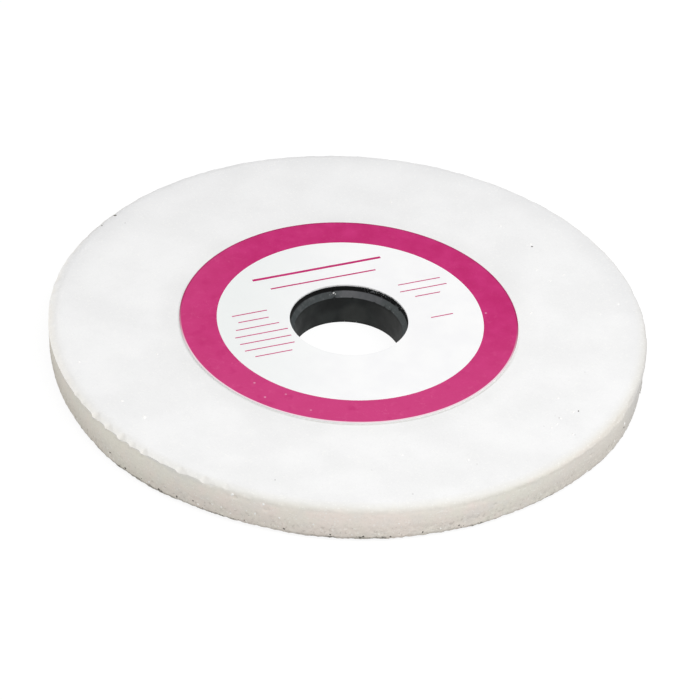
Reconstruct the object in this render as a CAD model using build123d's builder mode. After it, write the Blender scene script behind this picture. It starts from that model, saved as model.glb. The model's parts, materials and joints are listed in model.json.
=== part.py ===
"""Straight surface grinding wheel: white abrasive disc, black moulded bush and two paper blotters.

Millimetres, +Z along the bore. The origin is on the bore's axis in the outer face of the back
blotter, so the wheel lies on that blotter with its printed side up.
"""

import os

from build123d import *

# Abrasive disc
wheel_d = 177.8  # 7 in
body_t = 11.7  # with both blotters the wheel is 12.7 mm, 1/2 in
front_round = 2.0  # soft edge that handling has left on the printed side
back_break = 0.6  # crisper 45 degree break on the back edge

# Bush, from the bore outwards
bore_d = 31.75  # 1-1/4 in spindle
lead_in = 1.6  # how much wider than the bore its funnel starts
funnel_depth = 1.75  # from the recess down to the straight bore
recess_depth = 1.35
lip_wall = 1.6  # plastic left round the recess
foot_break = 0.2  # small chamfer where the bore comes out at the back

# Paper blotters
blotter_d = 100.0
blotter_t = 0.5
punch_gap = 0.05  # a blotter's hole clears the bush's recess and foot by this

# Print on the front blotter
ink_depth = 0.05  # the ink soaks in this far and lies flush with the paper
band_w = 10.6
band_drift = 0.4  # the print sits this far off the punched centre
label_turn = 23.3  # how far the ruled lines are turned from +X

# Ruled lines, in the label's own turned axes, as drawn for a white ring of drawn_ring_w
drawn_ring_w = 21.5
title_rise = 9.3  # from the hole's edge up to the first title line
title_gap = 5.6
title_rules = ((41.0, 1.0), (33.5, 0.6))  # length and stroke of each line
column_reach = 9.5  # from the hole's edge out to the middle of each column
line_pitch = 3.45
line_stroke = 0.4
left_top_y = 11.6
left_rules = (11.0, 9.5, 13.5, 16.5, 16.0, 15.5, 11.5)
right_top_y = 11.8
right_rules = (13.5, 15.0, 8.0)
single_y = -6.4
single_rule = 7.0

# Worked out from the sizes above
bore_r = bore_d / 2
recess_r = bore_r + lead_in
bush_r = recess_r + lip_wall
blotter_hole_r = recess_r + punch_gap
body_bottom = blotter_t
body_top = body_bottom + body_t
paper_top = body_top + blotter_t
funnel_top = body_top - recess_depth
funnel_foot = funnel_top - funnel_depth
print_floor = paper_top - ink_depth
band_inner_r = blotter_d / 2 - band_w
white_ring_w = band_inner_r - band_drift - blotter_hole_r
print_scale = white_ring_w / drawn_ring_w
title_y = blotter_hole_r + title_rise * print_scale
column_x = blotter_hole_r + column_reach * print_scale


def punched_sheet():
    """Outline of a blotter: a disc of paper with a punched hole."""
    Circle(blotter_d / 2)
    Circle(blotter_hole_r, mode=Mode.SUBTRACT)


def ruled_line(along, up, length, stroke):
    """One printed line, centred at (along, up) in the label's axes. Its stroke keeps its weight."""
    with Locations((along, up)):
        Rectangle(length * print_scale, stroke)


# The disc is pressed and fired in one piece, with a plain hole that the bush fills.
with BuildPart() as abrasive_wheel:
    with BuildSketch(Plane.XY.offset(body_bottom)):
        Circle(wheel_d / 2)
        Circle(bush_r, mode=Mode.SUBTRACT)
    extrude(amount=body_t)
    rim_edges = abrasive_wheel.edges().filter_by(GeomType.CIRCLE).group_by(SortBy.RADIUS)[-1]
    chamfer(rim_edges.sort_by(Axis.Z)[0], back_break)
    fillet(rim_edges.sort_by(Axis.Z)[-1], front_round)

# The bush is turned from its half section: recess, funnel and bore. Its foot fills the back blotter's
# hole and stands level with that paper.
with BuildPart() as bore_bush:
    with BuildSketch(Plane.XZ):
        with BuildLine():
            Polyline(
                (bore_r + foot_break, 0),
                (recess_r, 0),
                (recess_r, body_bottom),
                (bush_r, body_bottom),
                (bush_r, body_top),
                (recess_r, body_top),
                (recess_r, funnel_top),
                (bore_r, funnel_foot),
                (bore_r, foot_break),
                close=True,
            )
        make_face()
    revolve(axis=Axis.Z)

# The band runs to the paper's edge, and its inner circle shows that print and punch don't line up.
with BuildSketch(Plane.XY.offset(print_floor)) as band_field:
    Circle(blotter_d / 2)
    with Locations((band_drift, 0)):
        Circle(band_inner_r, mode=Mode.SUBTRACT)

# Two title lines above the bore, a column of short lines each side of it and one line on its own.
with BuildSketch(Plane.XY.offset(print_floor).rotated((0, 0, label_turn))) as ruled_field:
    for row, (length, stroke) in enumerate(title_rules):
        ruled_line(0, title_y - row * title_gap * print_scale, length, stroke)
    for side, top_y, lengths in ((-1, left_top_y, left_rules), (1, right_top_y, right_rules)):
        for row, length in enumerate(lengths):
            ruled_line(side * column_x, (top_y - row * line_pitch) * print_scale, length, line_stroke)
    ruled_line(column_x, single_y * print_scale, single_rule, line_stroke)

with BuildPart() as printed_band:
    extrude(band_field.sketch, amount=ink_depth)

with BuildPart() as printed_rules:
    extrude(ruled_field.sketch, amount=ink_depth)

with BuildPart() as back_blotter:
    with BuildSketch():
        punched_sheet()
    extrude(amount=blotter_t)

# The front blotter gives way to the ink, so that a flange lies flat on paper and print alike.
with BuildPart() as front_blotter:
    with BuildSketch(Plane.XY.offset(body_top)):
        punched_sheet()
    extrude(amount=blotter_t)
    extrude(band_field.sketch, amount=ink_depth, mode=Mode.SUBTRACT)
    extrude(ruled_field.sketch, amount=ink_depth, mode=Mode.SUBTRACT)

os.makedirs("parts", exist_ok=True)

abrasive_wheel.part.label = "abrasive_wheel"
export_step(abrasive_wheel.part, "parts/abrasive_wheel.step")

bore_bush.part.label = "bore_bush"
export_step(bore_bush.part, "parts/bore_bush.step")

back_blotter.part.label = "back_blotter"
export_step(back_blotter.part, "parts/back_blotter.step")

front_blotter.part.label = "front_blotter"
export_step(front_blotter.part, "parts/front_blotter.step")

printed_band.part.label = "printed_band"
export_step(printed_band.part, "parts/printed_band.step")

printed_rules.part.label = "printed_rules"
export_step(printed_rules.part, "parts/printed_rules.step")
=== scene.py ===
# %% [markdown]
# # A white grinding wheel
#
# This lesson dresses a straight surface grinding wheel for a photograph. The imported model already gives
# its true sizes: an abrasive disc, a black bush moulded into its hole, and a paper blotter on each face.
# What is still to do is everything that makes it look real: the grainy rim with its chipped and rubbed
# edges, the moulded bush, the slightly wavy paper and the printing on it.
#
# First the model is loaded as a fixed frame. Nothing in it is moved. New pieces are made in the same
# place and stand in for its plain ones.

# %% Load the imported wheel
import json
import math
import random

import bpy
import numpy as np
from mathutils import Matrix, Quaternion, Vector

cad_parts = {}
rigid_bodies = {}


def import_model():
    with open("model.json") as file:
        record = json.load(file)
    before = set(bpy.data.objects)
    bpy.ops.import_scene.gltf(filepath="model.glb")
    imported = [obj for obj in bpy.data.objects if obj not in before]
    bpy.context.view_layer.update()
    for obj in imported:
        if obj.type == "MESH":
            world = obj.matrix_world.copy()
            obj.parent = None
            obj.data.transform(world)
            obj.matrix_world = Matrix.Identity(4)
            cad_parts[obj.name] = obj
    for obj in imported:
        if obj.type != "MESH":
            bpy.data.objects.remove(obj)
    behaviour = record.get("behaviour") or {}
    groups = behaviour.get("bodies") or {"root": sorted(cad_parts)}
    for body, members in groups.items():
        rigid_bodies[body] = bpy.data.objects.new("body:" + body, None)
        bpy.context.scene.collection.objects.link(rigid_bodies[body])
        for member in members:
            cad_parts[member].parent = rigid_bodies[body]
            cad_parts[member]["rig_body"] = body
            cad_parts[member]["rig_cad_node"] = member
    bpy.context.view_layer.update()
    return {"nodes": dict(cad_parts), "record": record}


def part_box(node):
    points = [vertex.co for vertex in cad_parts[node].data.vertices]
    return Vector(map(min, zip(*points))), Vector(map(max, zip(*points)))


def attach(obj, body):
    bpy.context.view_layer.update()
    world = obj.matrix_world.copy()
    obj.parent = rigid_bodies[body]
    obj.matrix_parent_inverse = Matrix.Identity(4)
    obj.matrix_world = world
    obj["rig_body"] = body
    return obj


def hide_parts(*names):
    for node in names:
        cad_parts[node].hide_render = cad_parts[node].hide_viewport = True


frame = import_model()
print("pieces in the frame:", sorted(frame["nodes"]))

# %% [markdown]
# ## Sizes
#
# Blender works in metres and a wheel is measured in millimetres, so `MM` turns one into the other. The
# outer sizes are read from the frame, which is exact, and only what the frame's boxes can't tell is
# written here: the rim's round and break, the bush's recess, the paper's hole and the printed band.

# %% Read the sizes from the frame
MM = 0.001
wheel_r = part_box("abrasive_wheel")[1].x
body_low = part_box("abrasive_wheel")[0].z
body_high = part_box("abrasive_wheel")[1].z
bush_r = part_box("bore_bush")[1].x
paper_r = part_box("front_blotter")[1].x
paper_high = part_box("front_blotter")[1].z
bore_r = next(m["dims"]["r_mm"] for m in frame["record"]["mounts"] if m["name"] == "bore") * MM
bush_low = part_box("bore_bush")[0].z

front_round = 2.0 * MM
back_break = 0.6 * MM
lead_in = 1.6 * MM
funnel_depth = 1.75 * MM
recess_depth = 1.35 * MM
recess_r = bore_r + lead_in
funnel_top = body_high - recess_depth
funnel_foot = funnel_top - funnel_depth
foot_break = 0.2 * MM
paper_hole_r = recess_r + 0.05 * MM
band_w = 10.6 * MM
band_inner_r = paper_r - band_w
band_drift = 0.4 * MM
ink_depth = 0.05 * MM
print("wheel", round(2 * wheel_r / MM, 2), "mm across, bore", round(2 * bore_r / MM, 2), "mm")

# %% [markdown]
# ## The camera
#
# The wheel is seen from a little over thirty-six degrees above the floor through a long lens, so its
# near and far edges are almost the same size. The camera is put at its distance, turned towards the
# point of the face that lies in the middle of the picture, and then rolled a few degrees, because the
# wheel in the photograph leans to one side.

# %% Set up the camera
scene = bpy.context.scene
face_centre = Vector((0, 0, body_high))
view_distance = 1248.2 * MM
view_height = math.radians(36.03)
aim_point = Vector((0.82 * MM, -14.49 * MM, body_high))
camera_roll = math.radians(3.56)

lens = bpy.data.cameras.new("camera")
lens.sensor_width = 36
lens.lens = 217.8
lens.clip_start = 0.05
lens.clip_end = 20
camera = bpy.data.objects.new("camera", lens)
scene.collection.objects.link(camera)
scene.camera = camera
camera.location = face_centre + view_distance * Vector((0, -math.cos(view_height), math.sin(view_height)))
towards = (aim_point - camera.location).to_track_quat("-Z", "Y")
camera.rotation_mode = "QUATERNION"
camera.rotation_quaternion = towards @ Quaternion((0, 0, 1), camera_roll)
print("camera at", [round(c, 3) for c in camera.location])

# %% [markdown]
# ## Shader maths that reads like Python
#
# A material is a graph of nodes. Wiring every Math node by hand hides what is being worked out, so a
# `Value` wraps one socket and lets sums be written as sums: `1 - mask`, `radius / 3`. Everything else
# comes from `Finish.node`, which makes any node from its type, its settings and what its sockets get.

# %% A socket that can be added and multiplied
class Value:
    """The output of a node in a finish."""

    def __init__(self, finish, socket):
        self.finish = finish
        self.socket = socket

    def __add__(self, other):
        return self.finish.maths("ADD", self, other)

    def __sub__(self, other):
        return self.finish.maths("SUBTRACT", self, other)

    def __mul__(self, other):
        return self.finish.maths("MULTIPLY", self, other)

    def __truediv__(self, other):
        return self.finish.maths("DIVIDE", self, other)

    def __pow__(self, other):
        return self.finish.maths("POWER", self, other)

    def __radd__(self, other):
        return self.finish.maths("ADD", other, self)

    def __rsub__(self, other):
        return self.finish.maths("SUBTRACT", other, self)

    def __rmul__(self, other):
        return self.finish.maths("MULTIPLY", other, self)

    def rise(self, start, end):
        """0 below start, 1 above end and a smooth rise between them."""
        settings = {"interpolation_type": "SMOOTHSTEP"}
        return self.finish.node("ShaderNodeMapRange", settings, {0: self, 1: start, 2: end})

    def lesser(self, other):
        return self.finish.maths("MINIMUM", self, other)

    def greater(self, other):
        return self.finish.maths("MAXIMUM", self, other)

    def tinted(self, mask, red, green, blue):
        """This colour with another one, from 0 to 255, laid over it where the mask is 1."""
        return self.finish.mix(mask, self, colour(red, green, blue))


# %% A finish: one material and the nodes in it
class Finish:
    """A material, or the world, while its nodes are being made."""

    def __init__(self, name, owner=None):
        self.owner = owner or bpy.data.materials.new(name)
        self.owner.use_nodes = True
        self.tree = self.owner.node_tree
        self.tree.nodes.clear()

    def node(self, kind, settings=None, sockets=None, output=0):
        """Any node: its type, its settings, and the numbers or values that its sockets get."""
        made = self.tree.nodes.new(kind)
        for name, setting in (settings or {}).items():
            setattr(made, name, setting)
        for name, given in (sockets or {}).items():
            if isinstance(given, Value):
                self.tree.links.new(given.socket, made.inputs[name])
            else:
                made.inputs[name].default_value = given
        return Value(self, made.outputs[output]) if made.outputs else made

    def maths(self, operation, first, second):
        return self.node("ShaderNodeMath", {"operation": operation}, {0: first, 1: second})

    def place(self):
        """The point's place on the piece, in metres."""
        return self.node("ShaderNodeTexCoord", output="Object")

    def split(self, vector):
        """The three parts of a vector."""
        x = self.node("ShaderNodeSeparateXYZ", None, {0: vector}, "X")
        outputs = x.socket.node.outputs
        return x, Value(self, outputs["Y"]), Value(self, outputs["Z"])

    def noise(self, place, size, detail=2.0, output="Fac"):
        """Soft cloudy noise whose patches are about size across, in metres."""
        sockets = {"Vector": place, "Scale": 1 / size, "Detail": detail}
        return self.node("ShaderNodeTexNoise", None, sockets, output)

    def cells(self, place, size, output="Distance"):
        """Voronoi cells about size across: their distance field, or one random colour for each."""
        return self.node("ShaderNodeTexVoronoi", None, {"Vector": place, "Scale": 1 / size}, output)

    def mix(self, mask, below, above):
        """A colour that goes from below to above as the mask goes from 0 to 1."""
        return self.node("ShaderNodeMix", {"data_type": "RGBA"}, {0: mask, 6: below, 7: above}, 2)

    def spot(self, place, centre, radius):
        """1 inside a small ball round the centre, fading out at its radius."""
        sockets = {0: place, 1: centre}
        away = self.node("ShaderNodeVectorMath", {"operation": "DISTANCE"}, sockets, "Value")
        return 1 - away.rise(radius * 0.5, radius)

    def relief(self, height, depth, strength):
        """A Bump node: height 1 stands depth metres above height 0."""
        sockets = {"Height": height, "Distance": depth, "Strength": strength}
        return self.node("ShaderNodeBump", None, sockets)

    def principled(self, sockets):
        """Ends the material with a Principled shader."""
        shader = self.node("ShaderNodeBsdfPrincipled", None, sockets)
        self.node("ShaderNodeOutputMaterial", None, {"Surface": shader})
        return self.owner


def colour(red, green, blue):
    """A colour written as it looks on screen, from 0 to 255, turned into the linear light Blender uses."""
    shares = (c / 255 for c in (red, green, blue))
    return (*(s / 12.92 if s <= 0.04045 else ((s + 0.055) / 1.055) ** 2.4 for s in shares), 1.0)


print("finish helpers are ready")

# %% [markdown]
# ## Light and floor
#
# The photograph has no hard shadows: the light comes from all round, a little more from the near right.
# A white world does half of the work and two wide lamps the rest. They hang high, because the rim gets
# much less light than the face, and near, because the face brightens towards them. Together they stay
# at a level where a colour looks about as it is written, so the wheel stays right under other lamps.
#
# The white background is a matter of what the camera sees, not of more light: for the camera and for
# reflections the floor glows almost white, and for all other rays it is plain pale paper that catches
# the wheel's soft shadow.

# %% Light the scene
def seen_rays(finish):
    """1 for rays of the camera and for those that mirrors and glass send on, and 0 for all others."""
    camera_ray = finish.node("ShaderNodeLightPath", output="Is Camera Ray")
    rays = camera_ray.socket.node.outputs
    mirrored = camera_ray.greater(Value(finish, rays["Is Glossy Ray"]))
    return mirrored.greater(Value(finish, rays["Is Transmission Ray"]))


sky = Finish("sky", scene.world or bpy.data.worlds.new("sky"))
scene.world = sky.owner
sky_level = 0.55
sky_strength = seen_rays(sky) * (1 - sky_level) + sky_level
sky_light = sky.node("ShaderNodeBackground", None, {"Color": (1, 1, 1, 1), "Strength": sky_strength})
sky.node("ShaderNodeOutputWorld", None, {"Surface": sky_light})


def soft_lamp(name, place, width, level):
    """A square lamp aimed at the wheel. Level is the light it adds to a surface that faces it."""
    light = bpy.data.lights.new(name, "AREA")
    light.size = width
    light.energy = level * math.pi**2 * place.length_squared
    lamp = bpy.data.objects.new(name, light)
    scene.collection.objects.link(lamp)
    lamp.location = place
    lamp.rotation_euler = (-place).to_track_quat("-Z", "Y").to_euler()


soft_lamp("right_lamp", Vector((0.65, -0.22, 1.0)), width=0.6, level=0.28)
soft_lamp("front_lamp", Vector((0.08, -0.55, 1.05)), width=0.7, level=0.29)

# %% Lay the floor
bpy.ops.object.select_all(action="DESELECT")
bpy.ops.mesh.primitive_plane_add(size=8, location=(0, 0, -0.05 * MM))
floor = bpy.context.object
floor.name = "floor"
paper_sweep = Finish("floor")
seen = seen_rays(paper_sweep)
glow = paper_sweep.node("ShaderNodeEmission", None, {"Color": (1, 1, 1, 1), "Strength": 0.9})
shade = paper_sweep.node("ShaderNodeBsdfDiffuse", None, {"Color": (0.14, 0.14, 0.14, 1)})
bright = paper_sweep.node("ShaderNodeAddShader", None, {0: glow, 1: shade})
plain = paper_sweep.node("ShaderNodeBsdfDiffuse", None, {"Color": (0.7, 0.7, 0.7, 1)})
surface = paper_sweep.node("ShaderNodeMixShader", None, {0: seen, 1: plain, 2: bright})
paper_sweep.node("ShaderNodeOutputMaterial", None, {"Surface": surface})
floor.data.materials.append(paper_sweep.owner)

# %% [markdown]
# ## Turned pieces
#
# Everything on a grinding wheel is round, so every large piece starts the same way: a plane is stood up
# beside the axis as a half section, its corners are bevelled, its outline is divided where detail is
# wanted, and the outline is turned once round. The Spin operator does that too, but takes most of a
# minute for the fine steps wanted here, so a Screw modifier turns it instead.

# %% Helpers for a turned piece
def edit_all():
    """Goes to edit mode with everything selected."""
    bpy.ops.object.mode_set(mode="EDIT")
    bpy.ops.mesh.select_all(action="SELECT")


def pick(piece, chosen):
    """Goes to edit mode with only the vertices selected for which chosen(place) is true."""
    bpy.ops.object.mode_set(mode="OBJECT")
    mesh = piece.data
    for parts in (mesh.vertices, mesh.edges, mesh.polygons):
        parts.foreach_set("select", [False] * len(parts))
    for vertex in mesh.vertices:
        vertex.select = chosen(vertex.co)
    bpy.ops.object.mode_set(mode="EDIT")
    bpy.ops.mesh.select_mode(type="VERT")


def near(value, target):
    """Whether two places are the same to a few thousandths of a millimetre."""
    return abs(value - target) < 0.004 * MM


slack = 0.01 * MM  # how far past a corner a comparison still takes it in


def stand_section(name, inner, outer, low, high):
    """A plane beside the axis, from the inner to the outer radius and from low to high."""
    bpy.ops.object.select_all(action="DESELECT")
    middle = ((inner + outer) / 2, 0, (low + high) / 2)
    bpy.ops.mesh.primitive_plane_add(size=1, location=middle, rotation=(math.pi / 2, 0, 0))
    piece = bpy.context.object
    piece.name = name
    piece.data.name = name
    piece.scale = (outer - inner, high - low, 1)
    bpy.ops.object.transform_apply(location=True, rotation=True, scale=True)
    return piece


def bevel_corner(piece, radius, height, width, segments):
    """Cuts or rounds the section's corner at that radius and height."""
    pick(piece, lambda place: near(place.x, radius) and near(place.z, height))
    bpy.ops.mesh.bevel(offset=width, segments=segments, affect="VERTICES")


def cut_section(radius):
    """Puts points on the section's outline where it crosses that radius."""
    edit_all()
    bpy.ops.mesh.bisect(plane_co=(radius, 0, 0), plane_no=(1, 0, 0))


def raise_part(piece, split, chosen, height):
    """Splits the section at a radius and pulls the chosen part of its top or foot out, as a step."""
    cut_section(split)
    pick(piece, chosen)
    bpy.ops.mesh.extrude_region_move(TRANSFORM_OT_translate={"value": (0, 0, height)})


def empty_section():
    """Leaves only the outline of the section."""
    edit_all()
    bpy.ops.mesh.dissolve_faces()
    bpy.ops.mesh.select_all(action="SELECT")
    bpy.ops.mesh.delete(type="ONLY_FACE")


def divide_outline(piece, chosen, cuts):
    """Divides the outline's edge whose two ends are chosen."""
    pick(piece, chosen)
    bpy.ops.mesh.subdivide(number_cuts=cuts)


def turn_section(piece, steps):
    """Turns the outline once round the Z axis, closes the seam and points the faces outwards."""
    bpy.ops.object.mode_set(mode="OBJECT")
    turn = piece.modifiers.new("turn", "SCREW")
    turn.axis = "Z"
    turn.angle = 2 * math.pi
    turn.steps = steps
    turn.render_steps = steps
    bpy.ops.object.modifier_apply(modifier="turn")
    edit_all()
    bpy.ops.mesh.remove_doubles(threshold=0.001 * MM)
    bpy.ops.mesh.normals_make_consistent(inside=False)
    bpy.ops.object.mode_set(mode="OBJECT")


def select_only(piece):
    """Selects a piece, alone, and makes it the active one."""
    bpy.ops.object.select_all(action="DESELECT")
    piece.select_set(True)
    bpy.context.view_layer.objects.active = piece


def seat(piece, finish, slot, *nodes, smooth_to=None):
    """Gives a finished piece its material and its place in the frame.

    Its edges that turn by less than smooth_to degrees are shaded smooth.
    """
    bpy.ops.object.mode_set(mode="OBJECT")
    select_only(piece)
    if smooth_to:
        bpy.ops.object.shade_smooth_by_angle(angle=math.radians(smooth_to))
    piece.data.materials.clear()
    piece.data.materials.append(finish)
    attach(piece, "root")
    if nodes:
        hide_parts(*nodes)
    piece.data.calc_loop_triangles()
    print(piece.name, "has", len(piece.data.loop_triangles), "triangles")


print("section helpers are ready")

# %% [markdown]
# ## Wear that is painted and then pushed
#
# A wheel's rim is never a clean cylinder: grains stand out of it, its edges are nibbled and there are
# small pits. Moving points one at a time would never end. Instead a vertex group says where and how
# strongly, a procedural texture says in what pattern, and a Displace modifier pushes the skin.

# %% Helpers for wear
def polar(piece):
    """Radius, azimuth in degrees and height of every vertex, as three arrays."""
    places = np.empty(len(piece.data.vertices) * 3)
    piece.data.vertices.foreach_get("co", places)
    x, y, z = places.reshape(-1, 3).T
    return np.hypot(x, y), np.degrees(np.arctan2(y, x)), z


def ramp(values, start, end):
    """The same smooth rise as in the shaders, for arrays."""
    share = np.clip((values - start) / (end - start), 0, 1)
    return share * share * (3 - 2 * share)


def arc_away(azimuth, target, at_radius=wheel_r):
    """How far round the wheel from a target azimuth, in metres."""
    turn = (azimuth - target + 180) % 360 - 180
    return np.abs(np.radians(turn)) * at_radius


def stretch(azimuth, middle, full, none):
    """1 up to full mm along the rim from an azimuth, fading to 0 at none mm."""
    return 1 - ramp(arc_away(azimuth, middle), full * MM, none * MM)


def dimples(azimuth, drop, at_radius, places):
    """1 in the middle of each dimple, fading to 0 at its radius.

    Each has an azimuth in degrees, and its drop below the face and its radius in millimetres.
    """
    marks = np.zeros(len(azimuth))
    for place, middle_drop, size in places:
        away = np.hypot(arc_away(azimuth, place, at_radius), drop - middle_drop * MM)
        marks = np.maximum(marks, 1 - ramp(away, 0.2 * size * MM, size * MM))
    return marks


def paint(piece, name, weights):
    """Makes a vertex group from an array of weights."""
    group = piece.vertex_groups.new(name=name)
    for index in np.flatnonzero(weights > 0.01):
        group.add([int(index)], float(min(weights[index], 1.0)), "REPLACE")


def push(piece, name, weights, lumps, distance, direction="NORMAL", middle=0.0):
    """Paints the weights and pushes the skin by the distance, times its weight and a texture's value.

    Lumps are the size in mm and the depth of a cloudy texture, or None for an even push. The skin stays
    where the texture has its middle value, and moves the other way below it.
    """
    paint(piece, name, weights)
    modifier = piece.modifiers.new(name, "DISPLACE")
    modifier.vertex_group = name
    if lumps:
        size, depth = lumps
        modifier.texture = bpy.data.textures.new(name, "CLOUDS")
        modifier.texture.noise_scale = size * MM
        modifier.texture.noise_depth = depth
    modifier.texture_coords = "LOCAL"
    modifier.strength = distance
    modifier.direction = direction
    modifier.mid_level = middle
    bpy.context.view_layer.objects.active = piece
    bpy.ops.object.modifier_apply(modifier=name)


print("wear helpers are ready")

# %% [markdown]
# ## The abrasive's finish
#
# White aluminium oxide is almost pure white where a face has been trued, and greyer and warmer on the rim,
# where dust has settled between the grains. The rim's colour drifts between pinkish, greenish and grey, and
# painted light and shade make it lighter at the front and on the left and darker on the right. Painted shade
# also greys the face's far half and its rounded edge. A thin dark line of painted shade and dirt runs along
# the rim's lower edge, with darker smudges of dirt. The flakes split off its upper edge on the left are
# still clean, and the facets on the right are as dusty as the rim. Where those are is read from two
# attributes of the mesh.

# %% Tell the parts of the disc apart
class DiscPlace:
    """Where a point of the disc lies. Its sides and its far half are masks from 0 to 1."""

    def __init__(self, finish):
        self.point = finish.place()
        self.x, self.y, self.height = finish.split(self.point)
        self.radius = (self.x * self.x + self.y * self.y) ** 0.5
        self.drop = body_high - self.height
        self.left = 1 - self.x.rise(-0.85 * wheel_r, -0.45 * wheel_r)
        self.right = self.x.rise(0.45 * wheel_r, 0.85 * wheel_r)
        self.sides = self.left.greater(self.right)
        self.far = self.y.rise(-0.2 * wheel_r, 0.3 * wheel_r)


def rim_mask(finish, at):
    """0 on the face and 1 on the rim, with a ragged border that is sharper at the sides."""
    ragged = (finish.noise(at.point, 3 * MM, 3.0) - 0.5) * (1.6 * MM) * (1 - at.sides * 0.6)
    worn_off = (at.radius - (wheel_r - 1.3 * MM)).greater(0.0) * at.x.rise(0.72 * wheel_r, 0.92 * wheel_r)
    rim = (at.drop * (1 + at.sides * 3.0) + worn_off * 0.8 + ragged).rise(0.1 * MM, 3.2 * MM)
    cut_back = finish.node("ShaderNodeAttribute", {"attribute_name": "cut_back"}, output="Fac")
    return rim.greater(cut_back.rise(0.15, 0.85) * 0.85) * (1 - at.far * 0.65)


# %% Colour the face and the rim
def face_colour(finish, at):
    """Almost white and dusty near the rim, with painted shade that greys its far half and its rounded edge.
    """
    patch = finish.noise(at.point, 16 * MM, 3.0).rise(0.3, 0.7)
    face = finish.mix(patch, colour(240, 240, 240), colour(246, 246, 246))
    outer = at.radius.rise(wheel_r - 11 * MM, wheel_r - MM)
    # Painted shade: the far half of the face is greyer, most towards its outer edge.
    face = face.tinted(outer * at.far * 0.2, 204, 204, 207)
    face = face.tinted(at.y.rise(0.2 * wheel_r, 0.7 * wheel_r) * 0.18, 231, 231, 232)
    dusty = at.radius.rise(wheel_r - 5 * MM, wheel_r - 0.5 * MM) * (1 - at.far) * (0.04 + at.sides * 0.22)
    face = face.tinted(dusty, 214, 209, 198)
    # Painted shade on the rounded edge at the front and right, in place of the highlight it would catch.
    painted_shade = ((at.drop.greater(0.0) / (1.2 * MM)) ** 0.5).lesser(1.0) * (1 - at.left) * (1 - at.far * 0.85)
    face = face.tinted(painted_shade * 0.65, 222, 219, 208)

    # The face is a little greyer within a few millimetres of the paper, and a thin, slightly yellow painted
    # shadow runs just outside the paper's edge, strongest on the near side.
    greyer_near_paper = at.radius.rise(paper_r + 8 * MM, paper_r + MM)
    face = face.tinted(greyer_near_paper * 0.06, 170, 170, 165)
    along = 0.4 + at.x.rise(-0.7 * paper_r, 0.0) * 0.6
    paper_edge_shadow = at.radius.rise(paper_r + 0.85 * MM, paper_r + 0.3 * MM) * along
    near_side = 1 - at.y.rise(-0.5 * paper_r, 0.1 * paper_r)
    return face.tinted(paper_edge_shadow * (0.08 + near_side * 0.35), 170, 170, 160)


def rim_colour(finish, at):
    """Dust between the grains. Its colour drifts and is darker low down, with painted light at the front and
    on the left and painted shade on the right.
    """
    hue_patch = finish.noise(at.point, 7 * MM, 2.0).rise(0.36, 0.64)
    dust_and_painted_light = finish.mix(hue_patch, colour(243, 233, 225), colour(238, 236, 225))
    grey_patch = finish.split(finish.noise(at.point, 5 * MM, 2.0, "Color"))[1].rise(0.46, 0.68)
    dust_and_painted_light = dust_and_painted_light.tinted(grey_patch * 0.5, 229, 228, 224)
    # Painted light: the front of the rim is lighter.
    front = 1 - at.y.rise(-0.98 * wheel_r, -0.84 * wheel_r)
    dust_and_painted_light = dust_and_painted_light.tinted(front * 0.4, 255, 244, 235)
    # Painted shade: the right side of the rim is darker, darkest at its far right edge.
    dust_and_painted_light = dust_and_painted_light.tinted(at.right * 0.85, 227, 222, 214)
    dust_and_painted_light = dust_and_painted_light.tinted(at.x.rise(0.88 * wheel_r, 0.97 * wheel_r) * 0.8, 210, 209, 207)
    # Painted light: the left side of the rim is lighter and warmer.
    left_side = 1 - at.x.rise(-0.75 * wheel_r, -0.3 * wheel_r)
    dust_and_painted_light = dust_and_painted_light.tinted(left_side * 0.6, 252, 247, 234)
    return dust_and_painted_light.tinted(at.drop.rise(2 * MM, 11 * MM) * 0.35, 198, 192, 181)


# %% Add the grain and the dirt
def show_grain(finish, at, body, rim):
    """Single grains all over, and coarse crystals with pores between them on the lower rim."""
    grain = finish.split(finish.cells(at.point, 0.42 * MM, "Color"))[0]
    body = body.tinted((1 - grain.rise(0.0, 0.3)) * (0.03 + rim * 0.04), 150, 145, 138)
    body = body.tinted(grain.rise(0.9, 1.0) * (0.3 + rim * 0.1), 255, 254, 250)
    low = rim * at.drop.rise(4.5 * MM, 8 * MM)
    coarse = finish.noise(at.point, 1.1 * MM, 2.0)
    body = body.tinted(coarse.rise(0.58, 0.72) * low * 0.45, 250, 245, 234)
    return body.tinted((1 - coarse.rise(0.3, 0.42)) * low * 0.3, 160, 152, 142)


def add_foot_shade_and_dirt(finish, at, body, rim):
    """A thin dark line of painted shade and dirt along the foot of the rim, with darker blots of dirt."""
    smudge = finish.noise(at.point, 1.6 * MM, 3.0) - 0.5
    above_foot = at.height - body_low + smudge * (1.5 * MM)
    dirt_and_shade_patches = finish.noise(at.point, 11 * MM, 1.0).rise(0.42, 0.58) * at.x.rise(-0.9 * wheel_r, -0.7 * wheel_r)
    # Painted shade and dirt: the thin dark line where the rim's foot meets the floor.
    line = rim * (1 - above_foot.rise(0.85 * MM, 1.35 * MM)) * (0.3 + dirt_and_shade_patches * 0.7)
    body = body.tinted(line * 0.5, 128, 124, 115)
    blots = finish.noise(at.point, 1.2 * MM, 2.0).rise(0.56, 0.64) * rim
    blots = blots * (1 - above_foot.rise(1.1 * MM, 1.7 * MM))
    return body.tinted(blots * (0.15 + dirt_and_shade_patches * 0.6), 66, 63, 58)


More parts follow.
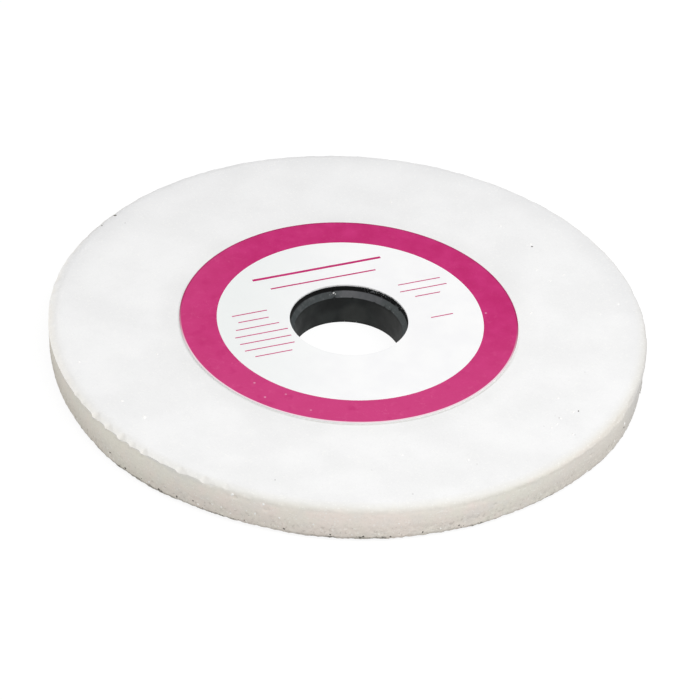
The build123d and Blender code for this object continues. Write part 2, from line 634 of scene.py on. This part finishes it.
# %% Make the abrasive's finish
def make_abrasive():
    finish = Finish("fired_abrasive")
    at = DiscPlace(finish)
    rim = rim_mask(finish, at)
    body = finish.mix(rim, face_colour(finish, at), rim_colour(finish, at))
    body = show_grain(finish, at, body, rim)
    fresh = finish.node("ShaderNodeAttribute", {"attribute_name": "chipped"}, output="Fac")
    fresh = fresh.rise(0.25, 0.75) * (1 - at.x.rise(-0.4 * wheel_r, -0.2 * wheel_r))
    body = body.tinted(fresh * 0.85, 236, 234, 230)
    body = add_foot_shade_and_dirt(finish, at, body, rim)
    lumps = finish.noise(at.point, 0.35 * MM, 2.0) * 0.6 + finish.cells(at.point, 0.5 * MM) * 0.4
    normal = finish.relief(lumps, 0.12 * MM, 0.2)
    return finish.principled({"Base Color": body, "Roughness": 0.86, "Normal": normal})


abrasive = make_abrasive()
print("made", abrasive.name)

# %% [markdown]
# ## The disc
#
# The section is a rectangle with a soft round on the printed side and a small break on the back. Dressing
# has taken a little off the rim, more of it at the back. Only the rim and the outer few millimetres of the
# printed side are divided finely, because only there does the skin's shape show.

# %% Turn the disc
dressed_r = wheel_r - 0.15 * MM
taper = 0.6 * MM
disc = stand_section("abrasive_disc", bush_r, dressed_r, body_low, body_high)
pick(disc, lambda p: near(p.x, dressed_r) and near(p.z, body_low))
bpy.ops.transform.translate(value=(-taper, 0, 0))
bevel_corner(disc, dressed_r, body_high, front_round, segments=12)
bevel_corner(disc, dressed_r - taper, body_low, back_break, segments=2)
empty_section()
edge_zone = 5 * MM
cut_section(wheel_r - edge_zone)
cut_section(paper_r - 2 * MM)
round_start = dressed_r - front_round + 0.05 * MM


def on_top(place):
    return near(place.z, body_high)


def rim_end(place):
    ends = (body_high - front_round, body_low + back_break)
    return place.x > wheel_r - edge_zone and min(abs(place.z - end) for end in ends) < 0.05 * MM


divide_outline(disc, rim_end, cuts=27)
divide_outline(disc, lambda p: on_top(p) and wheel_r - edge_zone - MM < p.x < round_start, cuts=10)
divide_outline(disc, lambda p: on_top(p) and paper_r - 3 * MM < p.x < wheel_r - edge_zone + slack, cuts=3)
turn_section(disc, steps=1380)
print("the disc has", len(disc.data.vertices), "points")

# %% [markdown]
# On the left the edge of the face is still a crisp corner, so the round is pushed back out to a corner
# first. Blows have split flakes off it: each flake leaves a clean white facet that starts abruptly and
# runs out along the rim. At the front handling has rubbed the edge into soft hollows, and on the right it
# is cut back in flat facets. A hollow or bite is an ellipse round the corner, and its depth falls off
# towards its rim: the smaller the power, the crisper the lip. A smaller bite overlaps each one, so that
# none is a neat oval. The rim itself is worn a little flat in three places, and dressing has missed two
# stretches of its lower half.

# %% Push the left edge out to a crisp corner
radius, azimuth, height = polar(disc)
drop = body_high - height

# How far the soft round lies inside the corner, along its own normal, and where the corner is crisp.
turned = np.arctan2(np.maximum(radius - dressed_r + front_round, 0), np.maximum(front_round - drop, 0))
corner_gap = front_round * (1 / np.maximum(np.cos(turned), np.sin(turned)) - 1)
widest_gap = front_round * (math.sqrt(2) - 1)
crispness = 0.9 * stretch(azimuth, -158, 46, 80)
push(disc, "crisp_corner", corner_gap / widest_gap * crispness, None, widest_gap)

radius, azimuth, height = polar(disc)
drop = body_high - height
inwards = wheel_r - radius
near_rim = ramp(radius, wheel_r - 3 * MM, wheel_r - 1.2 * MM)
front_edge = 1 - ramp(np.hypot(inwards, drop), 1.8 * MM, 3.4 * MM)
back_edge = near_rim * ramp(drop, 10.3 * MM, 11.0 * MM)
print("the round was up to", round(widest_gap / MM, 2), "mm inside the corner")

# %% Work out the bites
# Azimuth in degrees, half length, reach and depth in millimetres, power.
crisp, rubbed = 0.6, 1.2
bites = [
    (-143.0, 1.3, 0.7, 0.20, crisp), (-134.6, 1.4, 0.7, 0.20, crisp), (-114.8, 2.2, 1.3, 0.30, crisp),
    (-106.6, 2.0, 1.5, 0.30, crisp), (-98.0, 5.5, 2.0, 0.25, rubbed), (-88.0, 6.0, 2.0, 0.20, rubbed),
    (-79.0, 6.0, 2.2, 0.25, rubbed), (-71.0, 4.5, 1.8, 0.20, rubbed), (-57.0, 2.6, 1.6, 0.20, rubbed),
    (-39.5, 2.4, 1.6, 0.20, rubbed),
]
# On the far side they are small and left to chance, each a fourteenth of its half length deep.
chance = random.Random(11)
for place in range(2, 186, 5):
    size = chance.uniform(1.4, 3.0)
    bites.append((place + chance.uniform(-2, 2), size, chance.uniform(1.8, 2.4), size / 14, crisp))

for place, half_length, reach, depth, power in list(bites):
    beside = place + math.degrees(chance.uniform(-0.8, 0.8) * half_length * MM / wheel_r)
    bites.append((beside, half_length * 0.5, reach * chance.uniform(0.85, 1.15), depth * 0.9, power))

# They cut deeper into the rim than into the face.
chipped = np.zeros(len(radius))
for place, half_length, reach, depth, power in bites:
    along = arc_away(azimuth, place) / (half_length * MM)
    inside = 1 - along**2 - (inwards / (0.9 * reach * MM)) ** 2 - (drop / (1.1 * reach * MM)) ** 2
    chipped = np.maximum(chipped, depth * np.clip(inside, 0, 1) ** power)
chipped *= 0.65 - 0.45 * ramp(inwards, 0.8 * MM, 2.2 * MM)
print(len(bites), "bites")

# %% Work out the flakes on the left
# Where each starts abruptly, in degrees, and its length and depth in millimetres.
flakes = (
    (-167.0, 3.0, 0.25), (-161.5, 4.0, 0.3), (-155.8, 5.0, 0.6), (-151.0, 3.5, 0.9), (-148.2, 4.5, 0.75),
    (-143.9, 6.0, 1.2), (-139.7, 5.5, 1.1), (-135.9, 5.0, 1.3), (-132.7, 4.5, 1.0), (-129.7, 4.0, 1.2),
    (-125.2, 4.0, 0.7), (-121.3, 6.5, 1.2), (-116.2, 7.0, 1.3), (-111.6, 6.0, 1.1), (-106.8, 5.0, 0.9),
)
flake_slope = 0.45
cut = np.zeros(len(radius))
for start, length, depth in flakes:
    share = np.radians(azimuth - start) * wheel_r / (length * MM)
    cut = np.maximum(cut, depth * MM * ramp(share, -0.12, 0.14) * np.clip(1 - share, 0, 1))
flaked = np.clip(cut - flake_slope * (dressed_r - radius) - drop, 0, None)
print(len(flakes), "flakes, up to", round(flaked.max() / MM, 2), "mm deep")

# %% Work out the facets on the right
# Azimuth in degrees, half length and reach into the face in millimetres.
facet_slope = 1.6
reach_in = np.zeros(len(radius))
for place, half_length, reach in (
    (-60.5, 3.5, 0.6), (-54, 5.0, 0.5), (-48.5, 4.0, 0.8), (-43.5, 4.0, 0.8), (-36, 5.5, 1.2),
    (-31, 5.0, 1.3), (-25.5, 7.0, 1.4), (-19, 8.0, 1.3), (-12, 8.0, 1.1), (-4, 8.0, 0.8), (5, 8.0, 0.5),
):
    along = arc_away(azimuth, place) / (half_length * MM)
    reach_in = np.maximum(reach_in, reach * MM * np.sqrt(np.clip(1 - along**2, 0, 1)))
deepest_facet = 2.5 * MM
facets = np.clip((reach_in - inwards) * facet_slope - drop, 0, deepest_facet)
print("facets up to", round(facets.max() / MM, 2), "mm deep")

# %% Push the disc's skin
# Small pits: azimuth in degrees, drop below the face and radius in millimetres.
rim_pits = (
    (-162, 4.2, 0.7), (-138, 8.7, 0.8), (-36, 4.5, 0.6), (-28, 8.4, 0.6), (-105, 6.6, 0.8), (-109, 2.5, 0.7),
    (-103, 4.0, 1.3), (-74, 8.2, 0.6), (-60, 5.0, 0.6), (30, 6.0, 0.8), (95, 4.0, 0.8), (140, 7.0, 0.8),
)
pitted = dimples(azimuth, drop, wheel_r, rim_pits) * near_rim
worn = stretch(azimuth, -160, 8, 32) * 0.6 + stretch(azimuth, -47, 12, 28) * 0.5
worn = (worn + stretch(azimuth, 12, 22, 60)) * near_rim * ramp(drop, 0, 3 * MM)
missed = stretch(azimuth, -88, 12, 24) + stretch(azimuth, -131, 8, 20)
missed = missed * near_rim * ramp(drop, 3 * MM, 9 * MM)
coarse = near_rim * ramp(drop, 6.0 * MM, 8.5 * MM) * (0.4 + 0.6 * stretch(azimuth, -80, 55, 90))
flake_share = 0.92  # a little of each flake is left standing
cut_away = np.maximum(facets, flaked * flake_share) / deepest_facet

push(disc, "facets", cut_away, None, -deepest_facet, direction="Z")
push(disc, "flat", worn, None, -0.75 * MM)
push(disc, "missed", missed, None, 0.3 * MM)
push(disc, "swell", near_rim, (9, 1), 0.08 * MM, middle=1.0)
push(disc, "grains", near_rim, (0.9, 2), 0.14 * MM, middle=1.0)
push(disc, "coarse", coarse, (1.3, 1), 0.34 * MM, middle=0.9)
push(disc, "front_nibbles", front_edge, (2.4, 2), -0.25 * MM)
push(disc, "back_nibbles", back_edge, (1.4, 2), -0.5 * MM)
push(disc, "chips", chipped, None, -1.0 * MM)
push(disc, "pits", pitted, (0.7, 0), -0.7 * MM)

# %% Mark the cuts for the finish and seat the disc
full_facet = 0.3 * MM  # a facet this deep has the rim's colour
full_bite = 0.15  # a bite this strong is clean all over
flake_as_bite = 1.5  # a flake counts as this strong a bite for each millimetre of its depth
dusty_cut = disc.data.attributes.new("cut_back", "FLOAT", "POINT")
dusty_cut.data.foreach_set("value", np.clip(facets / full_facet, 0, 1))
clean_cut = disc.data.attributes.new("chipped", "FLOAT", "POINT")
clean_share = np.maximum(chipped, flaked / MM * flake_as_bite) / full_bite
clean_cut.data.foreach_set("value", np.clip(clean_share, 0, 1))
seat(disc, abrasive, "white_abrasive", "abrasive_wheel", smooth_to=50)

# %% [markdown]
# ## Single grains
#
# Here and there a crystal stands out of the skin and catches the light, and dark grains of old dirt sit
# in the rim, most of them low down. Painted dots would slide into the surface, so they are real: one
# broken crystal is modelled, and a copy of it is set half sunk wherever a ray meets the skin.

# %% Model one crystal
bpy.ops.object.select_all(action="DESELECT")
bpy.ops.mesh.primitive_ico_sphere_add(subdivisions=1, radius=1)
crystal = bpy.context.object
crystal.name = "crystal"
edit_all()
bpy.ops.transform.resize(value=(1.25, 0.9, 0.7))
bpy.ops.transform.vertex_random(offset=0.16, seed=5)
bpy.ops.object.mode_set(mode="OBJECT")
print("a crystal has", len(crystal.data.polygons), "faces")


# %% Helpers that set copies of it
def outwards(at_azimuth):
    """The direction away from the axis at that azimuth."""
    return Vector((math.cos(math.radians(at_azimuth)), math.sin(math.radians(at_azimuth)), 0))


def rim_ray(at_azimuth, at_drop):
    """A ray towards the axis that meets the rim at that azimuth and drop below the face."""
    out = outwards(at_azimuth)
    return out * (wheel_r + MM) + Vector((0, 0, body_high - at_drop * MM)), -out


def face_ray(at_x, at_y):
    """A ray down to the face at that place."""
    return Vector((at_x * MM, at_y * MM, paper_high + MM)), Vector((0, 0, -1))


def scatter(ray, count, azimuths, drops, sizes):
    """Rays at random azimuths and drops, each with a random size. Each range is its two ends."""
    places = []
    for _ in range(count):
        places.append((ray(chance.uniform(*azimuths), chance.uniform(*drops)), chance.uniform(*sizes)))
    return places


def set_grains(name, skin, rays_and_sizes, finish, slot):
    """Copies of the crystal where rays meet a skin. A size is the crystal's radius in millimetres."""
    grains = []
    for (start, aim), size in rays_and_sizes:
        met, spot, normal, face_index = skin.ray_cast(start, aim)
        if not met:
            continue
        grain = crystal.copy()
        grain.data = crystal.data.copy()
        turn = Quaternion(normal, chance.uniform(0, 6.28)) @ normal.to_track_quat("Z", "Y")
        stand = Matrix.Translation(spot - normal * (0.25 * size * MM)) @ turn.to_matrix().to_4x4()
        grain.data.transform(stand @ Matrix.Scale(size * MM, 4))
        scene.collection.objects.link(grain)
        grains.append(grain)
    bpy.ops.object.select_all(action="DESELECT")
    for grain in grains:
        grain.select_set(True)
    bpy.context.view_layer.objects.active = grains[0]
    bpy.ops.object.join()
    piece = bpy.context.object
    piece.name = name
    piece.data.name = name
    seat(piece, finish, slot)


def make_grain_finish(name, dull, bright, roughness, refraction=1.5):
    finish = Finish(name)
    tint = finish.noise(finish.place(), 0.5 * MM, 2.0).rise(0.35, 0.65)
    body = finish.mix(tint, colour(*dull), colour(*bright))
    return finish.principled({"Base Color": body, "Roughness": roughness, "IOR": refraction})


corundum = 1.76
clear_crystal = make_grain_finish("clear_crystal", (251, 250, 246), (255, 255, 253), 0.2, corundum)
old_dirt = make_grain_finish("old_dirt", (92, 88, 81), (104, 100, 92), 0.8)
print("made", clear_crystal.name, "and", old_dirt.name)

# %% Set the grains that the photograph shows and a scatter of others
whole_rim = (-180, 180)
dark = []
for at_x, at_y, size in (
    (-72.9, 47.0, 0.5), (-76.4, 41.3, 0.26), (-69.5, 43.1, 0.15), (54.0, 43.9, 0.34), (67.5, -37.2, 0.3),
    (61.9, -41.1, 0.17), (60.7, -40.2, 0.1), (-17.9, -77.8, 0.17), (20.8, -80.3, 0.15), (69.5, -18.2, 0.12),
    (38.6, -64.9, 0.13), (9.0, -70.6, 0.1), (57.5, -45.3, 0.1), (66.4, -48.6, 0.12),
):
    dark.append((face_ray(at_x, at_y), size))
for at_azimuth, at_drop, size in (
    (-36, 4.5, 0.32), (-28, 8.4, 0.4), (-23, 6.9, 0.32), (-162, 4.2, 0.36), (-138, 8.7, 0.42),
    (-133.5, 9.9, 0.4), (-125, 10.2, 0.36), (-121, 9.9, 0.36), (-117.5, 9.0, 0.3), (-99.5, 9.9, 0.36),
    (-91, 9.9, 0.32), (-85, 10.2, 0.36), (-80, 10.5, 0.36), (-74, 9.9, 0.3), (-67, 9.6, 0.3),
):
    dark.append((rim_ray(at_azimuth, at_drop), size))
dark += scatter(rim_ray, 26, whole_rim, drops=(9.9, 10.8), sizes=(0.12, 0.22))
dark += scatter(rim_ray, 5, whole_rim, drops=(3.0, 9.6), sizes=(0.1, 0.18))

pale = [(face_ray(-56.5, -52.7), 0.8)]
for at_x, at_y in (
    (10.6, 63.1), (62.4, -41.3), (65.9, -37.9), (59.8, -45.6), (61.3, -43.9), (65.8, -48.3), (36.1, -63.1),
    (17.3, -62.9), (53.7, 9.5), (61.6, -31.6), (-77.2, -28.5), (-55.1, -22.3), (-63.4, -45.8), (79.7, 16.8),
    (74.2, 11.2), (63.6, 30.1), (55.5, 31.8), (59.4, 26.5), (44.2, 53.8), (53.6, 45.2),
):
    pale.append((face_ray(at_x, at_y), 0.45))
for at_azimuth, at_drop in ((-23, 5.6), (-109.5, 1.8), (-103.5, 2.4), (-105, 6.6)):
    pale.append((rim_ray(at_azimuth, at_drop), 0.5))
for _ in range(90):
    turn = chance.uniform(0, 2 * math.pi)
    out = chance.uniform(paper_r + 2 * MM, wheel_r - 3 * MM) / MM
    pale.append((face_ray(out * math.cos(turn), out * math.sin(turn)), chance.uniform(0.1, 0.2)))
for _ in range(80):
    at_azimuth = chance.uniform(*whole_rim)
    at_drop = chance.triangular(5, 11, 9.5)
    pale.append((rim_ray(at_azimuth, at_drop), chance.uniform(0.14, 0.34)))
bpy.context.view_layer.update()
set_grains("dark_grains", disc, dark, old_dirt, "white_abrasive")
set_grains("pale_crystals", disc, pale, clear_crystal, "white_abrasive")

# %% [markdown]
# ## The bush
#
# The black bush is moulded plastic. A funnel leads from a shallow recess down to the bore. Its section
# starts as the wall below the recess, and gets its lip by extruding the outer part of its top, and its
# foot by extruding the inner part of its underside. The funnel and the foot's break are bevels.

# %% Make the bush's finish
def make_plastic():
    """Black plastic: a smooth bore, a scuffed grey funnel and a dark recess wall. Painted shade darkens the
    bore, the recess wall and the places under the funnel's edge; painted light brightens their right side
    and spots of the funnel.
    """
    finish = Finish("moulded_plastic")
    place = finish.place()
    x, y, height = finish.split(place)
    radius = (x * x + y * y) ** 0.5
    blotch = finish.noise(place, 6 * MM, 2.0).rise(0.35, 0.7)
    # The bore wall is painted much darker than the funnel, as shade deep in the hole, with blotches of a
    # lighter tone.
    bore_wall = finish.mix(blotch, colour(15, 19, 19), colour(37, 41, 40))
    bare = finish.spot(place, (1.5 * MM, bore_r, 2.8 * MM), 5.5 * MM)
    bore_wall = bore_wall.tinted(bare * 0.6, 62, 64, 62)
    # Painted light: the right side of the bore and of the funnel is lighter.
    right = x.rise(0.2 * bore_r, 0.85 * bore_r)
    bore_wall = bore_wall.tinted(right * 0.75, 64, 65, 64)
    # Painted shade: a dark patch on the far wall under the funnel, a dark band just under the funnel's edge
    # and darkness at the bore's foot.
    dim = finish.spot(place, (-5 * MM, bore_r, funnel_foot - 1.0 * MM), 5 * MM)
    bore_wall = bore_wall.tinted(dim * 0.75, 5, 7, 7)
    under_edge = height.rise(funnel_foot - 1.0 * MM, funnel_foot - 0.1 * MM)
    bore_wall = bore_wall.tinted(under_edge * 0.5, 10, 13, 13)
    at_foot = 1 - (height + (blotch - 0.5) * (0.3 * MM)).rise(0.4 * MM, 0.8 * MM)
    bore_wall = bore_wall.tinted(at_foot * 0.7, 7, 8, 8)

    scuff = finish.noise(place, 1.3 * MM, 3.0).rise(0.4, 0.7)
    rubbed = finish.mix(scuff, colour(60, 65, 66), colour(78, 81, 82))
    rubbed = rubbed.tinted(right * 0.7, 84, 89, 89)
    lit = finish.spot(place, (3 * MM, bore_r, funnel_top), 9 * MM)
    rubbed = rubbed.tinted(lit * 0.6, 96, 96, 99)
    on_funnel = height.rise(funnel_foot - 0.02 * MM, funnel_foot + 0.12 * MM)
    # Painted highlight on the funnel.
    bright = finish.spot(place, (-0.3 * MM, bore_r + 0.8 * MM, funnel_top - 0.9 * MM), 3.5 * MM)
    rubbed = rubbed.tinted(bright * 0.15, 122, 121, 122)
    at_left = 1 - x.rise(-0.93 * recess_r, -0.7 * recess_r)
    shaded = radius.rise(recess_r - 0.5 * MM, recess_r - 0.25 * MM) * at_left
    rubbed = rubbed.tinted(shaded * 0.85, 14, 15, 15)
    body = finish.mix(on_funnel, bore_wall, rubbed)

    # Painted shade: the recess wall is almost black.
    wall = radius.rise(recess_r - 0.22 * MM, recess_r - 0.1 * MM)
    body = body.tinted(wall, 4, 5, 5)
    roughness = 0.5 + finish.noise(place, 2.5 * MM, 2.0) * 0.25 + wall * 0.2
    normal = finish.relief(finish.noise(place, 0.6 * MM, 3.0), 0.08 * MM, 0.4)
    sockets = {"Base Color": body, "Roughness": roughness, "Specular IOR Level": 0.25, "Normal": normal}
    return finish.principled(sockets)


plastic = make_plastic()
print("made", plastic.name)

# %% Turn the bush
bush = stand_section("moulded_bush", bore_r, bush_r, body_low, funnel_top)
foot_drop = bush_low - body_low
raise_part(bush, recess_r, lambda p: near(p.z, funnel_top) and p.x > recess_r - slack, recess_depth)
raise_part(bush, recess_r, lambda p: near(p.z, body_low) and p.x < recess_r + slack, foot_drop)
funnel_rise = lead_in - slack
bevel_corner(bush, bore_r, funnel_top, funnel_rise, segments=1)
pick(bush, lambda p: near(p.x, bore_r) and near(p.z, funnel_top - funnel_rise))
bpy.ops.transform.translate(value=(0, 0, funnel_foot - funnel_top + funnel_rise))
bevel_corner(bush, bore_r, bush_low, foot_break, segments=1)
empty_section()
divide_outline(bush, lambda p: near(p.x, recess_r) and p.z > funnel_top - slack, cuts=6)
divide_outline(bush, lambda p: near(p.x, bore_r) and p.z > body_low - slack, cuts=20)
divide_outline(bush, lambda p: p.x < recess_r - slack / 2 and p.z > funnel_foot - slack, cuts=6)
turn_section(bush, steps=540)
print("the bush has", len(bush.data.vertices), "points")

# %% [markdown]
# Moulding leaves its marks: a seam across the funnel where the mould closed, nicks along the edge of the
# bore, and a torn stretch of the recess wall where the sprue was broken off.

# %% Mark the bush
radius, azimuth, height = polar(bush)
in_hole = radius < recess_r + slack
on_funnel = ramp(height, funnel_foot - 0.3 * MM, funnel_foot + 0.1 * MM) * in_hole
seam = (1 - ramp(arc_away(azimuth, 108.5, bore_r), 0.05 * MM, 0.45 * MM)) * on_funnel
recess_wall = (np.abs(radius - recess_r) < 2 * slack) * (height > funnel_top - slack)
torn = recess_wall * ramp(azimuth, 18, 34) * (1 - ramp(azimuth, 72, 84))
worn = recess_wall * (0.25 - 0.25 * torn)
# Nicks: azimuth in degrees, drop below the face and radius in millimetres.
nicks = ((41, 3.1, 0.8), (32, 1.6, 0.6), (50, 3.0, 0.6), (107, 3.0, 0.5), (63, 3.2, 0.5), (88, 3.1, 0.4))
nicked = dimples(azimuth, body_high - height, bore_r, nicks) * in_hole
push(bush, "seam", seam, None, -0.22 * MM)
push(bush, "torn", torn, (0.8, 2), 0.9 * MM, middle=0.45)
push(bush, "worn", worn, (1.2, 2), 0.5 * MM, middle=0.5)
push(bush, "nicked", nicked, (0.6, 1), -0.55 * MM)
seat(bush, plastic, "black_bush", "bore_bush", smooth_to=30)


# %% Set dust in the bush
def bore_ray(at_azimuth, at_drop):
    """A ray from the axis out to the bush at that azimuth and drop below the face."""
    return Vector((0, 0, body_high - at_drop * MM)), outwards(at_azimuth)


specks = []
for at_azimuth, at_drop, size in (
    (109.6, 2.3, 0.12), (95, 11.8, 0.18), (82, 11.8, 0.16), (100, 2.9, 0.1), (112, 2.2, 0.1),
):
    specks.append((bore_ray(at_azimuth, at_drop), size))
specks += scatter(bore_ray, 30, (14, 80), drops=(0.1, 1.3), sizes=(0.07, 0.15))
specks += scatter(bore_ray, 12, (10, 70), drops=(1.4, 3.3), sizes=(0.06, 0.11))
pale_dust = make_grain_finish("pale_dust", (122, 124, 124), (168, 170, 169), 0.8)
set_grains("bush_dust", bush, specks, pale_dust, "white_abrasive")
glints = [(bore_ray(107.6, 2.0), 0.3), (bore_ray(105.8, 2.2), 0.14)]
set_grains("seam_glint", bush, glints, clear_crystal, "white_abrasive")

# %% [markdown]
# ## The paper blotters
#
# The blotters are punched from thick paper and glued on, so the front one follows the abrasive under it in
# very shallow waves, while the wheel's weight keeps the back one flat. The front one gives way to the ink
# of the band by a hair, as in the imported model, and the band's inner circle is shifted to one side,
# because printing and punching never quite line up.

# %% Make the paper and ink finishes
def make_paper():
    """White paper with a faint mottle, and painted shade that greys it a little on the left."""
    finish = Finish("blotting_paper")
    place = finish.place()
    x = finish.split(place)[0]
    mottle = finish.noise(place, 9 * MM, 3.0).rise(0.3, 0.7)
    body = finish.mix(mottle, colour(246, 246, 247), colour(250, 250, 250))
    # Painted shade: the paper is a little greyer on the left.
    painted_shade = 1 - x.rise(-0.75 * paper_r, 0.1 * paper_r)
    body = body.tinted(painted_shade * 0.9, 238, 241, 240)
    fibre = finish.noise(place, 0.5 * MM, 3.0)
    normal = finish.relief(fibre, 0.05 * MM, 0.25)
    return finish.principled({"Base Color": body, "Roughness": 0.75, "Normal": normal})


def make_ink():
    """Raspberry ink: mottled, paler on the near side and the left, creased, and with a few gaps."""
    finish = Finish("printing_ink")
    place = finish.place()
    mottle = finish.noise(place, 6 * MM, 4.0).rise(0.3, 0.75)
    body = finish.mix(mottle, colour(190, 33, 107), colour(200, 46, 119))
    x, y = finish.split(place)[:2]
    paler_left = (1 - x.rise(-1.0 * paper_r, -0.5 * paper_r)) * 0.65
    paler = (1 - y.rise(-0.9 * paper_r, 0.3 * paper_r)).greater(paler_left)
    body = body.tinted(paler * 0.75, 206, 67, 128)
    pooled = finish.noise(place, 4.5 * MM, 3.0).rise(0.55, 0.75)
    body = body.tinted(pooled * 0.45, 187, 30, 104)
    fine = finish.noise(place, 0.8 * MM, 3.0).rise(0.55, 0.8)
    body = body.tinted(fine * 0.1, 228, 120, 165)
    rubbed = finish.noise(place, 2.6 * MM, 4.0).rise(0.55, 0.75) * (0.2 + paler * 0.6)
    body = body.tinted(rubbed * 0.25, 222, 98, 150)

    # A crease is where a cloudy field passes through its middle value, in the few places that a second
    # one picks out.
    field = finish.noise(place, 5 * MM, 3.0) - 0.5
    crease = 1 - (field * field).rise(0.0, 0.00012)
    creased = crease * finish.noise(place, 8 * MM, 1.0).rise(0.56, 0.64) * (0.4 + paler * 0.6)
    body = body.tinted(creased * 0.2, 226, 112, 160)
    for at_x, at_y, strength in (
        (-26.1, -33.9, 0.55), (-22.7, -40.4, 0.6), (-16.8, -38.4, 0.4), (-9.3, -45.2, 0.4),
        (40.3, 7.4, 0.55),
    ):
        missed = finish.spot(place, (at_x * MM, at_y * MM, paper_high), 0.42 * MM)
        body = body.tinted(missed * strength, 240, 178, 206)

    # The ink is paler in a hair-wide strip along the cut edge on the near side, and darker along it on the
    # far side.
    radius = (x * x + y * y) ** 0.5
    near_side = 1 - y.rise(-0.5 * paper_r, 0.1 * paper_r)
    darker_far_edge = radius.rise(paper_r - 0.6 * MM, paper_r - 0.2 * MM) * (1 - near_side)
    body = body.tinted(darker_far_edge * 0.55, 132, 24, 72)
    paler_near_edge = radius.rise(paper_r - 0.55 * MM, paper_r - 0.3 * MM) * near_side
    body = body.tinted(paler_near_edge * 0.8, 250, 236, 242)
    normal = finish.relief(finish.noise(place, 0.5 * MM, 3.0), 0.05 * MM, 0.25)
    sockets = {"Base Color": body, "Roughness": 0.6, "Specular IOR Level": 0.15, "Normal": normal}
    return finish.principled(sockets)


paper = make_paper()
ink = make_ink()
print("made", paper.name, "and", ink.name)

# %% Helpers for thin sheets
paper_steps = 540
cockle_lumps = (7, 1)
cockle_depth = 0.06 * MM
print_floor = paper_high - ink_depth


def settle(piece):
    """Cockles the free side of a sheet in Z only, the same way for paper and ink, to keep them together."""
    free = polar(piece)[2] > body_high + 0.3 * MM
    push(piece, "free", free * 1.0, cockle_lumps, cockle_depth, direction="Z", middle=0.75)


def shift_print(piece):
    """Moves the circle where white paper meets the band to where the printer put it."""
    def on_circle(place):
        away = abs(math.hypot(place.x, place.y) - band_inner_r)
        return away < 2 * slack and place.z > body_high + 0.1 * MM

    pick(piece, on_circle)
    bpy.ops.transform.translate(value=(band_drift, 0, 0))
    bpy.ops.object.mode_set(mode="OBJECT")


print("the sheets are turned in", paper_steps, "steps")


# %% Turn the front blotter and its band
front_paper = stand_section("front_paper", paper_hole_r, paper_r, body_high, print_floor)
white_r = band_inner_r + slack
raise_part(front_paper, band_inner_r, lambda p: near(p.z, print_floor) and p.x < white_r, ink_depth)
empty_section()
divide_outline(front_paper, lambda p: near(p.z, paper_high), cuts=24)
divide_outline(front_paper, lambda p: near(p.z, print_floor) and p.x > band_inner_r - slack, cuts=12)
turn_section(front_paper, paper_steps)
shift_print(front_paper)
settle(front_paper)
seat(front_paper, paper, "blotter_paper", "front_blotter", smooth_to=35)

band = stand_section("raspberry_band", band_inner_r, paper_r, print_floor, paper_high)
empty_section()
divide_outline(band, lambda p: near(p.z, paper_high), cuts=12)
turn_section(band, paper_steps)
shift_print(band)
settle(band)
seat(band, ink, "raspberry_ink", "printed_band", smooth_to=35)

# %% [markdown]
# Where the bush's wall is torn, crumbs of it cling to the paper's cut edge and make the hole ragged there.

# %% Scatter crumbs of plastic along the hole
cut_wall = (-0.36, 0.0)
crumbs = []
for _ in range(60):
    at_azimuth = chance.triangular(8, 96, 50)
    crumbs.append((bore_ray(at_azimuth, chance.uniform(*cut_wall)), chance.uniform(0.06, 0.15)))
crumbs += scatter(bore_ray, 20, (96, 200), drops=cut_wall, sizes=(0.05, 0.1))
black_crumb = make_grain_finish("black_crumb", (22, 24, 24), (40, 42, 42), 0.7)
set_grains("bush_crumbs", front_paper, crumbs, black_crumb, "black_bush")

# %% [markdown]
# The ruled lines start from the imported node, because their places are already right there. A copy of
# it is welded, divided and cockled with the paper, and lifted by a hundredth of a millimetre, so that the
# ink covers the paper.

# %% Lay the ruled lines on the paper
rules = frame["nodes"]["printed_rules"].copy()
rules.data = rules.data.copy()
rules.name = "ruled_lines"
rules.data.name = "ruled_lines"
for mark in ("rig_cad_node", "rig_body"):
    del rules[mark]
rules.parent = None
scene.collection.objects.link(rules)
select_only(rules)
edit_all()
bpy.ops.mesh.remove_doubles(threshold=0.001 * MM)
bpy.ops.mesh.tris_convert_to_quads()
bpy.ops.mesh.subdivide(number_cuts=7)
bpy.ops.mesh.select_all(action="SELECT")
bpy.ops.transform.translate(value=(0, 0, 0.012 * MM))
bpy.ops.object.mode_set(mode="OBJECT")
settle(rules)
seat(rules, ink, "raspberry_ink", "printed_rules")

# %% Turn the back blotter
back_paper = stand_section("back_paper", paper_hole_r, paper_r, 0, body_low)
empty_section()
divide_outline(back_paper, lambda p: near(p.z, 0), cuts=24)
turn_section(back_paper, paper_steps)
seat(back_paper, paper, "blotter_paper", "back_blotter", smooth_to=35)

# %% Remove the spare crystal and set the view
bpy.data.objects.remove(crystal)
scene.view_settings.view_transform = "Standard"
